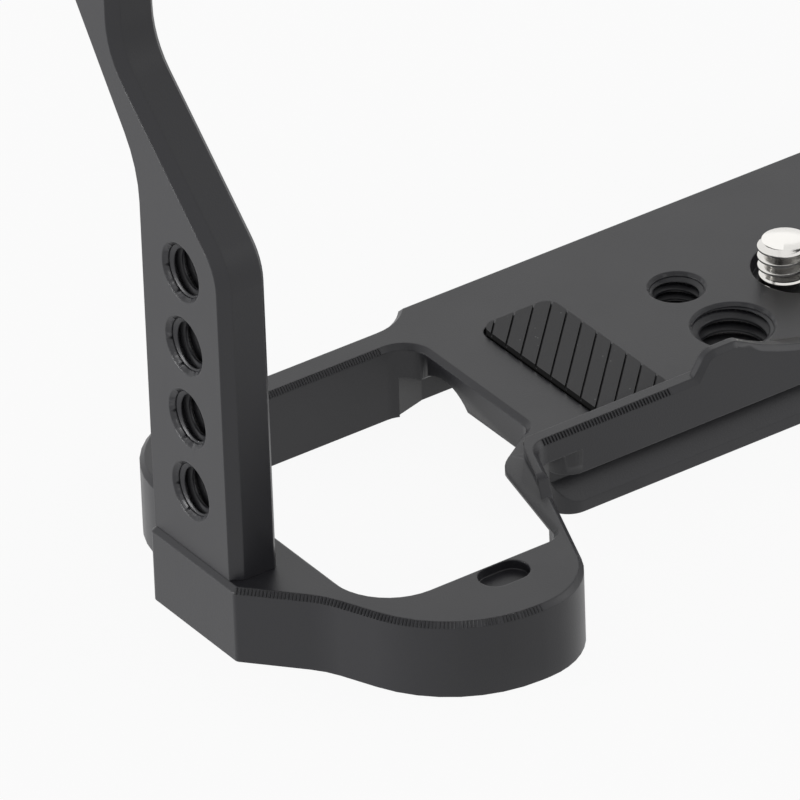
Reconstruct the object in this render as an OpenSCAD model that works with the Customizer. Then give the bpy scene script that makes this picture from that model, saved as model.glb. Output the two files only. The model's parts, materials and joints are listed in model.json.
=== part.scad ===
// Full camera cage in black anodised aluminium, with a loop under the grip.
// The origin is the middle of the deck's small threaded hole, on the deck's top face.
// +X runs along the deck to the port side, +Y to the back of the camera, +Z up.

/* [Base] */
// Height of the base from the table to the deck's top
base_h = 9.7; // [9:0.1:12]
// Thickness of the deck plate outside the foot
deck_t = 4.4; // [3.6:0.1:5]
// Deck from its left wall to the middle of the small threaded hole
deck_left = 31.2; // [30:0.2:36]
// Deck from the middle of the small threaded hole to its right end
deck_right = 70.5; // [68:0.5:76]
// Deck from the middle of the hole to its front face
deck_front = 20.4; // [19.8:0.1:22]
// Deck from the middle of the hole to its rear wall
deck_rear = 16.3; // [15.5:0.1:18]
// Chamfer round the top edges
edge_c = 0.6; // [0.3:0.1:0.7]

/* [Grip loop] */
// Length of the loop from the deck's left wall to its outer face
loop_l = 46.4; // [44:0.2:50]
// How far the loop reaches in front of the deck
loop_reach = 25.6; // [23:0.2:28]
// Width of the bar at the back of the loop
bar_w = 4.05; // [3.5:0.05:5]
// Step from the deck's rear wall to the bar's rear wall
bar_step = 2.6; // [2:0.1:3]
// Depth of the ledge beside the thin rib at the neck
ledge_d = 0.35; // [0.2:0.05:0.5]
// Height of the neck's thin inner edge, from the deck's top down
neck_t = 0.95; // [0.8:0.05:1.5]
// Depth of the small recess in the loop's front
recess_d = 1.2; // [0.8:0.1:2]
// Width of the small recess
recess_w = 4.2; // [3.6:0.1:5]

/* [Lens lip] */
// Height of the lip over the deck
lip_h = 1.8; // [1.4:0.1:2.4]
// Thickness of the lip from front to back
lip_w = 2.1; // [1.8:0.1:2.6]
// Height of the two horns beside the lens mount
horn_h = 4.6; // [4:0.1:6]
// Distance of the lens axis from the small threaded hole
lens_x = 11.2; // [9:0.2:13]
// How far the lens mount's free space dips under the deck's top
lens_dip = 0.2; // [0:0.05:0.5]
// Radius kept free round the lens mount
lens_r = 33; // [32:0.2:34]

/* [Dovetail foot] */
// Width of the foot at its flange
foot_w = 38; // [37.6:0.1:38.4]
// Height of the flange's vertical edge
flange_h = 1.5; // [1.2:0.1:2]
// Depth of the slanted groove over the flange
groove_d = 2.4; // [2:0.1:2.6]
// Right end of the foot, from the small threaded hole
foot_right = 53; // [46:0.5:56]

/* [Camera screw] */
// Radius of the camera screw's thread
screw_r = 3.175; // [3.1:0.005:3.2]
// Height of the screw's tip over the deck
screw_tip = 4.6; // [4:0.1:5]
// Distance of the screw from the small threaded hole along the deck
screw_x = 11.8; // [11.4:0.1:12.4]
// Distance of the screw in front of the small threaded hole
screw_y = 5.2; // [4.8:0.1:5.6]
// How far the screw can slide towards the port side
screw_float = 5.6; // [4:0.2:5.6]
// Radius of the screw's head
head_r = 5.5; // [5:0.1:5.6]

/* [Threaded holes] */
// Radius of a 1/4 inch thread
quarter_r = 3.175; // [3.1:0.005:3.2]
// Radius of a 3/8 inch thread
three_eighths_r = 4.7625; // [4.7:0.0025:4.8]
// Distance between neighbouring 1/4 inch holes
hole_pitch = 9.6; // [9:0.1:10]
// Distance of the 3/8 inch hole from the small hole along the deck
eighths_x = 0.2; // [-0.6:0.1:0.6]
// Distance of the 3/8 inch hole in front of the small hole
eighths_y = 10.8; // [10.6:0.1:11.2]
// Height of the lowest hole in the grip upright over the deck
grip_hole_z = 8.4; // [7:0.2:10]

/* [Uprights] */
// Thickness of both uprights
upright_t = 6.1; // [5.4:0.1:6.4]
// Depth of the grip upright from front to back
upright_d = 16.1; // [15:0.1:17]
// Rear face of the grip upright in front of the hole
upright_rear = 5.2; // [5.1:0.1:6]
// Clear height for the camera, from the deck to the top plate
bay_h = 80; // [76:0.5:84]
// How far the grip upright leans back on its way up
lean = 14.9; // [13:0.1:16]

/* [Top plate] */
// Thickness of the top plate
top_t = 7; // [6:0.1:8]
// Width of the bay for the viewfinder hump
hump_w = 50.5; // [46:0.5:54]

/* [Pads] */
// Width of a deck pad
pad_w = 9.9; // [9:0.1:11]
// Height of the pads over the deck
pad_h = 0.7; // [0.5:0.1:1]
// Distance between neighbouring grooves in a pad
pad_pitch = 2.05; // [1.8:0.05:2.4]

/* [Hidden] */
// Overrun of a cutting tool past the face it starts at
over = 1;
// Play round a part that isn't a fit
play = 0.3;
// Play of a washer and a screw that turn in it
turn_play = 0.05;
// Overrun of a chamfering cutter
ring_over = 0.05;
// Height difference below which an edge counts as level
level_tol = 0.01;
// Largest angle between neighbouring points of a rounded corner
arc_step = 9;
// Smoothness of round parts
$fn = 64;

left_x = -deck_left;
loop_x = left_x - loop_l;
front_y = -deck_front;
bar_rear = deck_rear - bar_step;
bar_front = bar_rear - bar_w;
outer_in_x = loop_x + edge_c;
upright_x = outer_in_x + upright_t / 2;
port_out_x = deck_right - edge_c;
port_in_x = port_out_x - upright_t;
port_x = port_out_x - upright_t / 2;
top_z = bay_h + top_t;
lens_z = lens_r - lens_dip;

// A corner given in shares of the loop: x from the deck's wall, y from the front face
// forwards to the loop's front (negative) or backwards to the hole (positive)
function at_loop(s) = [
    left_x - s[0] * loop_l,
    front_y + s[1] * (s[1] < 0 ? loop_reach : deck_front),
    s[2] * loop_reach
];
neck_shares = [0.0776, 0, 0.098];
loop_out_shares = [
    [1, 0.755, 0.032], [1, -0.0625, 0.032], [0.8517, -0.37, 0.47],
    [0.698, -1.008, 0.664], [0.293, -1.008, 0.377]
];
loop_side_shares = [0.888, 0.755, 0.032];
loop_in_shares = [
    [0.778, -0.574, 0.281], [0.235, -0.574, 0.086], [0.1573, 0.0784, 0.22], [0, 0.3137, 0.08]
];
loop_in_x = at_loop(loop_in_shares[0])[0];
ledge_shares = [[0.0302, 0.265, 0], [0.1013, 0.0343, 0.156], [0.2155, -0.4727, 0]];
ledge_back_shares = [[0.287, -0.473, 0], [0.2, 0.191, 0], [0.0388, 0.387, 0]];
notch_end_shares = [[0.0409, 0.2157, 0.03], [0, 0.2157, 0.03]];
notch_out_shares = [0.1552, -0.36, 0];
relief_shares = [
    [0, 0.1667, 0], [0, 0.3627, 0], [0.1034, 0.3627, 0], [0.2543, 0.0686, 0],
    [0.2866, -0.4727, 0], [0.125, -0.4727, 0]
];
recess_shares = [0.4397, -0.6836, 0];
rib_shares = [[0.19, -0.37, 0], [0.07, -0.43, 0], [0.03, -0.04, 0]];
rib_back_shares = [[0.12, 0.103, 0], [0.2, -0.1, 0]];
loop_rear_r = 0.281 * loop_l;
loop_in_rear_r = 0.14 * loop_l;
wall_r = 0.075 * loop_l;
bar_blend_r = 6.6;
foot_r = 3;

// Unit vector
function unit(v) = v / norm(v);
// Vector turned a quarter turn to the left
function to_left(v) = [-v[1], v[0]];
// Points of one rounded corner p between its neighbours a and b
function corner(p, a, b, r) = let (
    u = unit(a - p),
    v = unit(b - p),
    half = acos(u * v) / 2
) (r <= 0 || half > 89) ? [p] : let (
    c = p + unit(u + v) * r / sin(half),
    s = p + u * r / tan(half) - c,
    e = p + v * r / tan(half) - c,
    from = atan2(s[1], s[0]),
    turn = (atan2(e[1], e[0]) - from + 540) % 360 - 180,
    n = ceil(abs(turn) / arc_step)
) [for (i = [0:n]) c + r * [cos(from + turn * i / n), sin(from + turn * i / n)]];
// Outline with rounded corners, from corners [x, y, radius]
function rounded(c) = let (n = len(c)) [
    for (i = [0:n - 1])
        let (a = c[(i + n - 1) % n], b = c[(i + 1) % n])
            each corner([c[i][0], c[i][1]], [a[0], a[1]], [b[0], b[1]], c[i][2])
];
// Line of edge i of an outline, moved outwards by d
function edge_line(pts, i, d) = let (
    a = pts[i],
    u = unit(pts[(i + 1) % len(pts)] - a)
) [a - to_left(u) * d, u];
// Point where two lines meet
function meet(l, m) = let (
    w = m[0] - l[0],
    c = l[1][0] * m[1][1] - l[1][1] * m[1][0]
) abs(c) < 0.001 ? m[0] : l[0] + l[1] * (w[0] * m[1][1] - w[1] * m[1][0]) / c;
// Outline with each edge moved outwards by d, or by its own d where d is a list
function moved(pts, d) = let (n = len(pts)) [
    for (i = [0:n - 1])
        let (j = (i + n - 1) % n)
            meet(edge_line(pts, j, is_list(d) ? d[j] : d), edge_line(pts, i, is_list(d) ? d[i] : d))
];

// Cutter that chamfers the edges of an outline at height z: c wide (or a list with one
// width for each edge) and h high, on the upper or lower side, round a body or a hole
module chamfer_ring(pts, z, c, h = 0, upper = true, hole = false) {
    n = len(pts);
    wide = is_list(c) ? max(c) : c;
    high = h > 0 ? h : wide;
    grow = ring_over * high / wide;
    side = hole ? -1 : 1;
    face = upper ? 1 : -1;
    far = [
        for (i = [0:n - 1])
            let (w = is_list(c) ? c[i] : c)
                side * (w > 0 ? -w - ring_over * w / high : ring_over / 2)
    ];
    near = [for (i = [0:n - 1]) side * ring_over];
    loops = [
        [moved(pts, near), z - face * (high + grow)],
        [moved(pts, near), z + face * ring_over],
        [moved(pts, far), z + face * ring_over]
    ];
    order = side * face > 0 ? [0, 1, 2] : [2, 1, 0];
    polyhedron(
        points = [for (k = order) for (p = loops[k][0]) [p[0], p[1], loops[k][1]]],
        faces = [for (k = [0:2]) for (i = [0:n - 1])
            [k * n + i, (k + 1) % 3 * n + i, (k + 1) % 3 * n + (i + 1) % n, k * n + (i + 1) % n]]
    );
}

// Plate with an outline, chamfered round its upper edge and, if low_c > 0, its lower edge
module plate(pts, low, high, c, low_c = 0) {
    difference() {
        translate([0, 0, low])
            linear_extrude(height = high - low)
                polygon(pts);
        chamfer_ring(pts, high, c);
        if (is_list(low_c) || low_c > 0)
            chamfer_ring(pts, low, low_c, upper = false);
    }
}

// Round hole along Z with a chamfer at each mouth
module chamfered_hole(r, low, high, c) {
    translate([0, 0, low - over])
        cylinder(h = high - low + 2 * over, r = r);
    translate([0, 0, high - c])
        cylinder(h = c + over, r1 = r, r2 = r + c + over);
    translate([0, 0, low - over])
        cylinder(h = c + over, r1 = r + c + over, r2 = r);
}

// Countersunk screw, its head's face at z = 0 and its shank up along +Z
module flat_screw(r, l) {
    head_h = r * 0.95;
    socket_share = 0.62;
    difference() {
        union() {
            cylinder(h = head_h, r1 = r + head_h, r2 = r);
            translate([0, 0, head_h])
                cylinder(h = l - head_h, r = r);
        }
        translate([0, 0, -over])
            cylinder(h = over + head_h * 0.8, r = r * socket_share, $fn = 6);
    }
}

// Room for a countersunk screw, the same size as the screw
module flat_screw_room(r, l) {
    head_h = r * 0.95;
    cylinder(h = head_h, r1 = r + head_h, r2 = r);
    cylinder(h = l, r = r);
    translate([0, 0, -over])
        cylinder(h = over, r = r + head_h);
}

outer = rounded(concat(
    [[deck_right, front_y, foot_r], [deck_right, deck_rear, foot_r],
     [left_x + bar_w * 0.74, deck_rear, 0], [left_x + bar_w * 0.17, bar_rear, bar_blend_r],
     [at_loop(loop_side_shares)[0], bar_rear, loop_rear_r]],
    [at_loop(loop_side_shares)],
    [for (s = loop_out_shares) at_loop(s)],
    [at_loop(neck_shares)]
));
opening = rounded(concat(
    [for (s = loop_in_shares) at_loop(s)],
    [[left_x, bar_front, wall_r], [loop_in_x, bar_front, loop_in_rear_r]]
));
ledge = rounded([for (s = concat(ledge_shares, ledge_back_shares)) at_loop(s)]);
notch = rounded(concat(
    [for (s = notch_end_shares) at_loop(s)],
    [[left_x, front_y, foot_r], [left_x + foot_r + over, front_y, 0]],
    [[left_x + foot_r + over, front_y - foot_r, 0]],
    [at_loop(notch_out_shares)]
));
neck_dir = unit([at_loop(loop_in_shares[2])[0] - at_loop(loop_in_shares[1])[0],
    at_loop(loop_in_shares[2])[1] - at_loop(loop_in_shares[1])[1]]);
neck_a = atan2(neck_dir[1], neck_dir[0]);
// Floor of the ledge: distance along the neck from its bend, in shares of the loop's
// reach, and depth in shares of the ledge's depth
ramp_shares = [[-0.42, 0.1], [-0.2, -1], [0.8, -1]];
neck_bend = at_loop(loop_in_shares[2]);
neck_slope = 1.4;

// Left side of the foot, behind the notch: x and y in shares of its width, and the
// corner's radius in shares of the foot's own
foot_side_shares = [
    [0.1895, 1, 1], [0.1895, 0.4, 0.667], [0.1316, 0.29, 0.333], [0.0447, 0.255, 0.167], [0, 0.19, 0.167]
];
foot_left = left_x + foot_side_shares[0][0] * foot_w;
foot_plan = rounded(concat(
    [[left_x, front_y, foot_r], [foot_right, front_y, foot_r], [foot_right, front_y + foot_w, foot_r]],
    [for (s = foot_side_shares) [left_x + s[0] * foot_w, front_y + s[1] * foot_w, s[2] * foot_r]]
));
foot_end_gap = 5;
foot_lap = 0.5;
groove_rim = 0.1;
neck_in = 2.2;
loop_ear = 2;
notch_roof = 1.3;
bar_relief = 1.15;

seat_r = 6.3;
float_mid = screw_x + screw_float / 2;
web_top = -2;
web_low = -4.2;
clip_z = -7.9;
clip_t = 0.8;
clip_in = 5;
head_room_r = head_r + screw_float / 2 + play;
clip_groove = 0.45;
washer_t = 0.5;
washer_in = 0.1;
washer_r = head_r - washer_in;
head_top = web_low - play / 2 - washer_t - turn_play;
head_low = clip_z + turn_play * 2;
shank_r = 3.1;

pad_front = front_y + lip_w + play;
pad_rear = 6.2;
pad_left = -23.6;
pad_floor = -0.8;
pad_gap = 0.25;
pad_r = 1.7;

foot_screw_in = 3;
grip_foot_y = [-upright_rear - foot_screw_in, -upright_rear - upright_d + foot_screw_in];
grip_pin_y = -upright_rear - upright_d / 2;
port_foot_y = [-14.6, 9.6];
port_pin_y = -2.5;
foot_screw_r = 1.5;
foot_bite = 6;
foot_screw_l = base_h + foot_bite;
pin_r = 1.25;
pin_low = -6;
pin_high = 4;

// Half of the lip's front wall with its horn, left of the lens axis: x in shares of the
// lens's free radius, z and the corner's radius in shares of the horn's height
horn_shares = [
    [-0.772, -0.42, 0], [-0.24, -0.42, 0], [-0.24, 0.42, 0], [-0.528, 1, 0.543], [-0.646, 1, 0.478]
];
module horn() {
    outline = rounded([for (s = horn_shares) [s[0] * lens_r, s[1] * horn_h, s[2] * horn_h]]);
    n = len(outline);
    wide = [for (i = [0:n - 1]) outline[(i + 1) % n][0] < outline[i][0] - level_tol ? edge_c : 0];
    translate([lens_x, 0, 0])
        rotate([90, 0, 0])
            plate(outline, -front_y - lip_w + edge_c, -front_y, wide);
}

// Space kept free round the lens mount, with a chamfer along the lip's front
module lens_space() {
    translate([lens_x, front_y - over, lens_z])
        rotate([-90, 0, 0]) {
            cylinder(h = lip_w + 2 * over, r = lens_r, $fn = 180);
            cylinder(h = over + edge_c, r1 = lens_r + edge_c + over, r2 = lens_r, $fn = 180);
        }
}

// The lip along the deck's front and the thin rib that carries it into the loop
module lip() {
    lip_end = port_in_x - play;
    rib = [for (s = rib_shares) at_loop(s)];
    rib_back = [for (s = rib_back_shares) at_loop(s)];
    intersection() {
        plate(outer, -2 * edge_c, lip_h, edge_c);
        translate([0, 0, -2 * edge_c])
            linear_extrude(height = lip_h + 2 * edge_c + over)
                polygon(concat(
                    [for (p = rib) [p[0], p[1]]],
                    [[left_x, front_y - over], [lip_end, front_y - over], [lip_end, front_y + lip_w]],
                    [[left_x, front_y + lip_w]],
                    [for (p = rib_back) [p[0], p[1]]]
                ));
        rotate([90, 0, 90])
            translate([0, 0, loop_x])
                linear_extrude(height = -loop_x + deck_right + over)
                    polygon([
                        [front_y + lip_w + over, -2 * edge_c], [front_y + lip_w + over, lip_h + over],
                        [front_y - 0.2 * loop_reach, lip_h + over], [front_y - 0.2 * loop_reach, lip_h],
                        [front_y - 0.295 * loop_reach, 0], [front_y - 0.34 * loop_reach, -2 * edge_c]
                    ]);
    }
}

// Cut beside the neck: a ledge that ramps up into the loop, under the rib
module ledge_cut() {
    intersection() {
        translate([0, 0, -base_h])
            linear_extrude(height = base_h + lip_h + over)
                polygon(ledge);
        translate([neck_bend[0], neck_bend[1], 0])
            rotate([90, 0, neck_a])
                translate([0, 0, -loop_reach])
                    linear_extrude(height = 2 * loop_reach)
                        polygon(concat(
                            [for (s = ramp_shares) [s[0] * loop_reach, s[1] * ledge_d]],
                            [[ramp_shares[2][0] * loop_reach, lip_h + over]],
                            [[ramp_shares[0][0] * loop_reach, lip_h + over]]
                        ));
    }
}

// Chamfers on the edges that the ledge leaves on the rib and on the deck behind it
module ledge_edges() {
    chamfer_ring(ledge, lip_h, edge_c, hole = true);
    intersection() {
        chamfer_ring(ledge, 0, 0.8 * edge_c, hole = true);
        translate([loop_x, front_y + lip_w, -ledge_d])
            cube([loop_l, deck_front, ledge_d + over]);
    }
}

// Room under the neck: its inner edge is thin and it grows thicker towards its outer wall
module neck_relief() {
    slope_w = (deck_t - neck_t) / neck_slope;
    intersection() {
        translate([0, 0, -base_h - over])
            linear_extrude(height = base_h + over)
                polygon([for (s = relief_shares) [at_loop(s)[0], at_loop(s)[1]]]);
        translate([neck_bend[0], neck_bend[1], 0])
            rotate([90, 0, neck_a - 90])
                translate([0, 0, -loop_reach])
                    linear_extrude(height = 2 * loop_reach)
                        polygon([
                            [-loop_reach, -neck_t], [0, -neck_t], [slope_w, -deck_t], [loop_reach, -deck_t],
                            [loop_reach, -base_h - 2 * over], [-loop_reach, -base_h - 2 * over]
                        ]);
    }
}

// Arca-type foot with slanted grooves at the front and back
module foot() {
    rear_y = front_y + foot_w;
    flange_top = -base_h + flange_h;
    intersection() {
        translate([0, 0, -base_h])
            linear_extrude(height = base_h)
                polygon(foot_plan);
        translate([left_x - over, 0, 0])
            rotate([90, 0, 90])
                linear_extrude(height = foot_right - left_x + 2 * over)
                    polygon([
                        [front_y, -base_h], [rear_y, -base_h], [rear_y, flange_top],
                        [rear_y - groove_d, min(flange_top + groove_d, -deck_t - groove_rim)],
                        [rear_y - groove_d, -deck_t + foot_lap], [front_y + groove_d, -deck_t + foot_lap],
                        [front_y + groove_d, min(flange_top + groove_d, -deck_t - groove_rim)],
                        [front_y, flange_top]
                    ]);
    }
}

// Room for the captive camera screw, from the deck's seat down to the clip
module screw_room() {
    translate([float_mid, -screw_y, 0]) {
        translate([0, 0, web_top])
            cylinder(h = -web_top + over, r = seat_r);
        translate([0, 0, -base_h - over])
            cylinder(h = base_h + over + web_low, r = head_room_r);
        translate([0, 0, clip_z - clip_t])
            cylinder(h = clip_t, r = head_room_r + clip_groove);
    }
    translate([screw_x, -screw_y, web_low - over])
        cylinder(h = web_top - web_low + 2 * over, r = screw_r + play);
    translate([screw_x + screw_float, -screw_y, web_low - over])
        cylinder(h = web_top - web_low + 2 * over, r = screw_r + play);
    translate([screw_x, -screw_y - screw_r - play, web_low - over])
        cube([screw_float, 2 * (screw_r + play), web_top - web_low + 2 * over]);
}

// Recess for a deck pad
module pad_room() {
    translate([pad_left - pad_gap, pad_front - pad_gap, pad_floor])
        linear_extrude(height = over - pad_floor)
            polygon(rounded([
                [0, 0, pad_r], [pad_w + 2 * pad_gap, 0, pad_r],
                [pad_w + 2 * pad_gap, pad_rear - pad_front + 2 * pad_gap, pad_r],
                [0, pad_rear - pad_front + 2 * pad_gap, pad_r]
            ]));
}

// One piece with the deck, the grip loop, the lens lip and the foot
module base_frame() {
    undercut = [
        [foot_right + foot_end_gap, front_y - over], [foot_right + foot_end_gap, deck_rear + over],
        [foot_left, deck_rear + over], [foot_left, bar_front + bar_relief],
        [left_x + neck_in, bar_front + bar_relief],
        [left_x - loop_ear, bar_front],
        [left_x - loop_ear, at_loop(loop_in_shares[3])[1]], [left_x, at_loop(loop_in_shares[3])[1]],
        [left_x + neck_in, front_y + foot_w * 0.26], [left_x + neck_in, front_y + foot_w * 0.1],
        [left_x - play, front_y + foot_w * 0.1], [left_x - play, front_y - over]
    ];
    finger_r = 6;
    finger_up = 2.1;
    finger_y = 2.8;
    finger_l = 6;
    rim_c = 0.375;
    color([0.1, 0.1, 0.105])
        difference() {
            union() {
                difference() {
                    plate(outer, -base_h, 0, edge_c);
                    translate([0, 0, -base_h - over])
                        linear_extrude(height = base_h - deck_t + over)
                            polygon(undercut);
                }
                foot();
                lip();
                horn();
                translate([2 * lens_x, 0, 0])
                    mirror([1, 0, 0])
                        horn();
            }
            translate([0, 0, -base_h - over])
                linear_extrude(height = base_h + over + edge_c)
                    polygon(opening);
            chamfer_ring(opening, 0, edge_c, hole = true);
            ledge_cut();
            ledge_edges();
            neck_relief();
            translate([0, 0, -base_h - over])
                linear_extrude(height = base_h + over - notch_roof)
                    polygon(notch);
            lens_space();
            translate([left_x - over, finger_y, -deck_t + finger_up - finger_r])
                rotate([0, 90, 0])
                    cylinder(h = finger_l + over, r = finger_r);
            chamfered_hole(quarter_r, -base_h, 0, rim_c);
            translate([eighths_x, -eighths_y, 0])
                chamfered_hole(three_eighths_r, -base_h, 0, rim_c);
            screw_room();
            pad_room();
            translate([2 * lens_x, 0, 0])
                mirror([1, 0, 0])
                    pad_room();
            loop_recess();
            for (y = grip_foot_y)
                translate([upright_x, y, -base_h])
                    flat_screw_room(foot_screw_r, foot_screw_l);
            for (y = port_foot_y)
                translate([port_x, y, -base_h])
                    flat_screw_room(foot_screw_r, foot_screw_l);
            translate([upright_x, grip_pin_y, pin_low])
                cylinder(h = pin_high - pin_low, r = pin_r);
            translate([port_x, port_pin_y, pin_low])
                cylinder(h = pin_high - pin_low, r = pin_r);
        }
}

// Small blind recess in the loop's front
module loop_recess() {
    mid = at_loop(recess_shares);
    half = 1.1;
    translate([mid[0], mid[1], -recess_d]) {
        translate([-half, 0, 0])
            cylinder(h = recess_d + over, r = recess_w / 2);
        translate([half, 0, 0])
            cylinder(h = recess_d + over, r = recess_w / 2);
        translate([-half, -recess_w / 2, 0])
            cube([2 * half, recess_w, recess_d + over]);
    }
}

upright_front = -upright_rear - upright_d;
grip_taper = 5.2;
row_top = grip_hole_z + 3 * hole_pitch;
bend_front_up = 3.44;
bend_rear_up = 9.8;
grip_bend_r = 14;
grip_top_bend_r = 12;
grip_front_bend_r = 7;
grip_front_top_r = 9;
grip_top_front = upright_front + lean + grip_taper;
grip_top_rear = -upright_rear + lean;
grip_side = rounded([
    [upright_front, 0, 0], [-upright_rear, 0, 0],
    [-upright_rear, row_top + bend_rear_up, grip_bend_r], [grip_top_rear, bay_h * 0.864, grip_top_bend_r],
    [grip_top_rear, bay_h, 0], [grip_top_front, bay_h, 0],
    [grip_top_front, bay_h * 0.749, grip_front_top_r],
    [upright_front, row_top + bend_front_up, grip_front_bend_r]
]);
// Edges of the side outline that are on the upright's front
function is_front(a, b) = b[1] < a[1] - level_tol;
// 1 for each edge of a side outline that isn't level, 0 for its two ends
function not_level(c) = let (n = len(c)) [
    for (i = [0:n - 1]) abs(c[i][1] - c[(i + 1) % n][1]) < level_tol ? 0 : 1
];
grip_n = len(grip_side);
grip_front = [for (i = [0:grip_n - 1]) is_front(grip_side[i], grip_side[(i + 1) % grip_n]) ? 1 : 0];
grip_level = not_level(grip_side);
grip_hole_y = -13.2;
top_screw_in = 2.9;
top_pin_in = 2.4;
grip_top_screw_y = grip_top_front + top_screw_in;
grip_top_pin_y = grip_top_rear - top_pin_in;
top_screw_r = 1.2;
top_bite = 8;
top_screw_l = top_t + top_bite;
hole_c = 0.5;

// Leaning pillar with a row of threaded holes
module grip_upright() {
    front_c = 1;
    front_h = 1.4;
    side_c = 0.25;
    color([0.1, 0.1, 0.105])
        difference() {
            rotate([90, 0, 90]) {
                difference() {
                    plate(grip_side, outer_in_x, outer_in_x + upright_t,
                        grip_level * edge_c, grip_level * side_c);
                    chamfer_ring(grip_side, outer_in_x, grip_front * front_c, front_h, upper = false);
                }
            }
            for (i = [0:3])
                translate([outer_in_x, grip_hole_y, grip_hole_z + i * hole_pitch])
                    rotate([0, 90, 0])
                        chamfered_hole(quarter_r, 0, upright_t, hole_c);
            for (y = grip_foot_y)
                translate([upright_x, y, -base_h])
                    flat_screw_room(foot_screw_r, foot_screw_l);
            translate([upright_x, grip_pin_y, pin_low])
                cylinder(h = pin_high - pin_low, r = pin_r);
            translate([upright_x, grip_top_screw_y, top_z])
                mirror([0, 0, 1])
                    flat_screw_room(top_screw_r, top_screw_l);
            translate([upright_x, grip_top_pin_y, bay_h - pin_high])
                cylinder(h = 2 * pin_high, r = pin_r);
        }
}

port_front_in = 0.8;
port_rear_in = 1.8;
port_wall = 6;
port_bend_r = 14;
window_r = 4;
window_bend_r = 6;
port_front = front_y + port_front_in;
port_rear = deck_rear - port_rear_in;
port_top_y = [-14, 12];
port_side = rounded([
    [port_front, 0, 0], [port_rear, 0, 0], [port_rear, bay_h * 0.52, port_bend_r],
    [port_top_y[1], bay_h * 0.78, port_bend_r], [port_top_y[1], bay_h, 0], [port_top_y[0], bay_h, 0],
    [port_top_y[0], bay_h * 0.78, port_bend_r], [port_front, bay_h * 0.52, port_bend_r]
]);
port_window = rounded([
    [port_front + port_wall, bay_h * 0.16, window_r], [port_rear - port_wall, bay_h * 0.16, window_r],
    [port_rear - port_wall, bay_h * 0.58, window_bend_r],
    [port_top_y[1] - port_wall, bay_h * 0.8, window_r],
    [port_top_y[0] + port_wall, bay_h * 0.8, window_r],
    [port_front + port_wall, bay_h * 0.58, window_bend_r]
]);
port_hole_z = 6.4;
port_top_screw_y = [-9.5, 8];

// Frame on the port side with a window for the cables
module port_upright() {
    level = not_level(port_side);
    color([0.1, 0.1, 0.105])
        difference() {
            rotate([90, 0, 90])
                plate(port_side, port_in_x, port_out_x, level * edge_c, level * edge_c);
            rotate([90, 0, 90]) {
                translate([0, 0, port_in_x - over])
                    linear_extrude(height = upright_t + 2 * over)
                        polygon(port_window);
                chamfer_ring(port_window, port_out_x, edge_c, hole = true);
                chamfer_ring(port_window, port_in_x, edge_c, upper = false, hole = true);
            }
            for (y = [-hole_pitch, 0])
                translate([port_in_x, port_pin_y + hole_pitch / 2 + y, port_hole_z])
                    rotate([0, 90, 0])
                        chamfered_hole(quarter_r, 0, upright_t, hole_c);
            for (y = port_foot_y)
                translate([port_x, y, -base_h])
                    flat_screw_room(foot_screw_r, foot_screw_l);
            translate([port_x, port_pin_y, pin_low])
                cylinder(h = pin_high / 2 - pin_low, r = pin_r);
            for (y = port_top_screw_y)
                translate([port_x, y, top_z])
                    mirror([0, 0, 1])
                        flat_screw_room(top_screw_r, top_screw_l);
            translate([port_x, 0, bay_h - pin_high])
                cylinder(h = 2 * pin_high, r = pin_r);
        }
}

bay_in = 4.4;
bridge_out = 7.6;
bridge_side = 4;
top_bend_in = 8.8;
grip_rim = 1.5;
port_rim = 2;
top_corner_r = 3;
top_bend_r = 11;
bridge_r = 10;
bay_r = 6;
port_corner_r = 4;
bay_front = front_y + bay_in;
bridge_front = front_y - bridge_out;
bay_left = lens_x - hump_w / 2;
bay_right = lens_x + hump_w / 2;
top_out = rounded([
    [outer_in_x, grip_top_front - grip_rim, top_corner_r],
    [left_x - top_bend_in, grip_top_front - grip_rim, top_bend_r],
    [bay_left - bridge_side, bridge_front, bridge_r], [bay_right + bridge_side, bridge_front, bridge_r],
    [port_out_x, port_top_y[0] - port_rim, port_corner_r],
    [port_out_x, port_top_y[1] + port_rim, port_corner_r],
    [bay_right, port_top_y[1] + port_rim, top_corner_r], [bay_right, bay_front, bay_r],
    [bay_left, bay_front, bay_r], [bay_left, grip_top_rear + grip_rim, top_corner_r],
    [outer_in_x, grip_top_rear + grip_rim, top_corner_r]
]);
top_row_x = -50;
top_row_y = (grip_top_front + grip_top_rear) / 2;
shoe_x = 53;
shoe_y = -1;
shoe_screw_r = 1.25;
shoe_screw_y = [-5.5, 5.5];
shoe_floor = 1.6;
shoe_bite = 4.5;
shoe_screw_l = shoe_floor + shoe_bite;

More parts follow.
